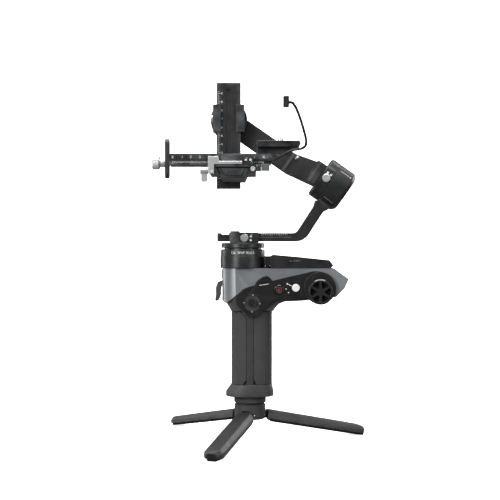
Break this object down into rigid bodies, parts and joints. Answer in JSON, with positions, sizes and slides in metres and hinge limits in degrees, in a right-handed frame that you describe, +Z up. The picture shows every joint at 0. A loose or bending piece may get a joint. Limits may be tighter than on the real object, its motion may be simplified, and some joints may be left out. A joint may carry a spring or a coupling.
{
  "type": "camera gimbal",
  "caption": "Handheld three-axis camera stabiliser on a folding tabletop tripod, with sliding balance arms, a swing-out screen and a long quick-release rail.",
  "frame": {"origin": "centre of the mouth of the screw socket under the tripod's hub, 23.5 mm over the floor", "axes": "+Z up along the handle, -X the way the lens looks, +X to the user, +Y away from the side with the controls"},
  "size_m": [0.2407, 0.237, 0.4087],
  "materials": {
    "charcoal_plastic": "moulded glass-filled nylon, fine texture",
    "grip_rubber": "matt silicone rubber",
    "steel_pins": "ground",
    "grey_shell": "satin gunmetal paint",
    "black_panel": "satin black",
    "white_plastic": "satin",
    "screen_glass": "polished",
    "black_aluminium": "black anodised, fine bead blast",
    "grey_aluminium": "grey anodised",
    "bright_aluminium": "clear anodised",
    "copper_windings": "enamelled copper wire",
    "cell_wrap": "shrink wrap",
    "circuit_board": "solder mask",
    "cable_rubber": "satin cable jacket"
  },
  "bodies": {
    "handle": {"tripod_hub": "charcoal_plastic", "leg_pins": "steel_pins", "tripod_collar": "charcoal_plastic", "grip_base": "charcoal_plastic", "grip_core": "charcoal_plastic", "grip_panel_front": "grip_rubber", "grip_panel_rear": "grip_rubber", "battery_cells": "cell_wrap", "lower_housing": "charcoal_plastic", "body_shell": "grey_shell", "control_panel": "black_panel", "back_panel": "black_panel", "main_board": "circuit_board", "pan_housing": "black_aluminium", "pan_label_ring": "black_aluminium", "pan_coil": "copper_windings", "screen_bracket": "charcoal_plastic"},
    "right_leg": {"leg_right": "charcoal_plastic", "leg_pad_right": "grip_rubber"},
    "back_leg": {"leg_back": "charcoal_plastic", "leg_pad_back": "grip_rubber"},
    "front_leg": {"leg_front": "charcoal_plastic", "leg_pad_front": "grip_rubber"},
    "trigger_lever": {"trigger": "grey_shell"},
    "stick_cross": {"joystick_cross": "steel_pins"},
    "stick_cap": {"joystick_cap": "black_panel"},
    "record_key": {"record_button": "black_panel"},
    "menu_key": {"menu_button": "black_panel"},
    "mode_knob": {"mode_dial": "white_plastic"},
    "wheel": {"control_wheel": "black_panel"},
    "power_key": {"power_button": "black_panel"},
    "screen": {"screen_frame": "black_panel", "screen_glass": "screen_glass"},
    "pan_head": {"pan_rotor": "black_aluminium"},
    "pan_latch": {"pan_lock": "bright_aluminium"},
    "lower_arm": {"pan_arm": "black_aluminium", "roll_stator": "black_aluminium", "roll_coil": "copper_windings"},
    "upper_arm": {"roll_rotor": "black_aluminium", "roll_arm": "black_aluminium", "tilt_stator": "black_aluminium", "tilt_coil": "copper_windings"},
    "roll_latch": {"roll_lock": "bright_aluminium"},
    "tilt_head": {"tilt_rotor": "black_aluminium"},
    "tilt_latch": {"tilt_lock": "bright_aluminium"},
    "lift": {"tilt_arm": "black_aluminium", "crossbar": "black_aluminium", "crossbar_cap": "black_aluminium"},
    "clamp": {"clamp_base": "grey_aluminium", "clamp_jaw": "bright_aluminium", "plate_screw": "bright_aluminium"},
    "clamp_screw": {"clamp_knob": "bright_aluminium"},
    "lever": {"quick_release_lever": "grey_aluminium"},
    "rail": {"long_rail": "black_aluminium", "camera_plate": "black_aluminium", "camera_screw": "bright_aluminium", "cable_lead": "cable_rubber", "cable_plug": "cable_rubber"},
    "support": {"lens_support": "black_aluminium"},
    "support_screw": {"lens_knob": "bright_aluminium"}
  },
  "joints": [
    {"name": "right_leg_fold", "type": "hinge", "parent": "handle", "child": "right_leg", "pos_m": [0.01267, 0.00292, 0.0045], "axis": [-0.225, 0.9744, 0], "range_deg": [0, 79]},
    {"name": "back_leg_fold", "type": "hinge", "parent": "handle", "child": "back_leg", "pos_m": [-0.00887, 0.00951, 0.0045], "axis": [-0.7314, -0.682, 0], "range_deg": [0, 79]},
    {"name": "front_leg_fold", "type": "hinge", "parent": "handle", "child": "front_leg", "pos_m": [-0.0038, -0.01243, 0.0045], "axis": [0.9563, -0.2924, 0], "range_deg": [0, 79]},
    {"name": "trigger_pull", "type": "hinge", "parent": "handle", "child": "trigger_lever", "pos_m": [-0.0298, 0, 0.1515], "axis": [0, -1, 0], "range_deg": [0, 8], "stiffness_Nm_per_rad": 0.05},
    {"name": "joystick_up_down", "type": "hinge", "parent": "handle", "child": "stick_cross", "pos_m": [0.0022, -0.019, 0.1298], "axis": [1, 0, 0], "range_deg": [-14, 14], "stiffness_Nm_per_rad": 0.01},
    {"name": "joystick_left_right", "type": "hinge", "parent": "stick_cross", "child": "stick_cap", "pos_m": [0.0022, -0.019, 0.1298], "axis": [0, 0, 1], "range_deg": [-14, 14], "stiffness_Nm_per_rad": 0.01},
    {"name": "record_press", "type": "slide", "parent": "handle", "child": "record_key", "axis": [0, 1, 0], "range_m": [0, 0.0007], "stiffness_N_per_m": 600},
    {"name": "menu_press", "type": "slide", "parent": "handle", "child": "menu_key", "axis": [0, 1, 0], "range_m": [0, 0.0007], "stiffness_N_per_m": 600},
    {"name": "mode_turn", "type": "hinge", "parent": "handle", "child": "mode_knob", "pos_m": [0.0503, -0.021, 0.1466], "axis": [0, 1, 0], "range_deg": [-30, 30]},
    {"name": "wheel_turn", "type": "hinge", "parent": "handle", "child": "wheel", "pos_m": [0.0771, -0.025, 0.1423], "axis": [0, 1, 0], "continuous": true},
    {"name": "power_press", "type": "slide", "parent": "handle", "child": "power_key", "axis": [0, -1, 0], "range_m": [0, 0.0007], "stiffness_N_per_m": 600},
    {"name": "screen_swing", "type": "hinge", "parent": "handle", "child": "screen", "pos_m": [0.0195, -0.016, 0.176], "axis": [0, 0, -1], "range_deg": [0, 90]},
    {"name": "pan", "type": "hinge", "parent": "handle", "child": "pan_head", "pos_m": [-0.008, 0, 0.1905], "axis": [0, 0, 1], "continuous": true},
    {"name": "pan_lock_turn", "type": "hinge", "parent": "pan_head", "child": "pan_latch", "pos_m": [-0.0062, -0.015, 0.20155], "axis": [0, 1, 0], "range_deg": [0, 90]},
    {"name": "pan_arm_slide", "type": "slide", "parent": "pan_head", "child": "lower_arm", "axis": [1, 0, 0], "range_m": [-0.028, 0.007]},
    {"name": "roll", "type": "hinge", "parent": "lower_arm", "child": "upper_arm", "pos_m": [0.0922, 0, 0.26105], "axis": [0.8192, 0, -0.5736], "range_deg": [-60, 120]},
    {"name": "roll_lock_turn", "type": "hinge", "parent": "upper_arm", "child": "roll_latch", "pos_m": [0.0836, -0.0241, 0.26707], "axis": [0, 1, 0], "range_deg": [0, 90]},
    {"name": "tilt", "type": "hinge", "parent": "upper_arm", "child": "tilt_head", "pos_m": [-0.02518, 0.08, 0.34324], "axis": [0, 1, 0], "range_deg": [-90, 90]},
    {"name": "tilt_lock_turn", "type": "hinge", "parent": "tilt_head", "child": "tilt_latch", "pos_m": [-0.04378, 0.0643, 0.34324], "axis": [1, 0, 0], "range_deg": [0, 90]},
    {"name": "height_slide", "type": "slide", "parent": "tilt_head", "child": "lift", "axis": [0, 0, 1], "range_m": [-0.004, 0.014]},
    {"name": "side_slide", "type": "slide", "parent": "lift", "child": "clamp", "axis": [0, 1, 0], "range_m": [-0.01, 0.014]},
    {"name": "clamp_screw_turn", "type": "hinge", "parent": "clamp", "child": "clamp_screw", "pos_m": [-0.04408, -0.022, 0.27524], "axis": [1, 0, 0], "range_deg": [-165, 90]},
    {"name": "quick_release", "type": "hinge", "parent": "clamp", "child": "lever", "pos_m": [0.00892, -0.0248, 0.27904], "axis": [0, 0, -1], "range_deg": [0, 60]},
    {"name": "balance_slide", "type": "slide", "parent": "clamp", "child": "rail", "axis": [1, 0, 0], "range_m": [-0.006, 0.012]},
    {"name": "support_slide", "type": "slide", "parent": "rail", "child": "support", "axis": [0, 0, 1], "range_m": [-0.006, 0.008]},
    {"name": "support_screw_turn", "type": "hinge", "parent": "rail", "child": "support_screw", "pos_m": [-0.08938, 0, 0.28574], "axis": [1, 0, 0], "continuous": true}
  ]
}
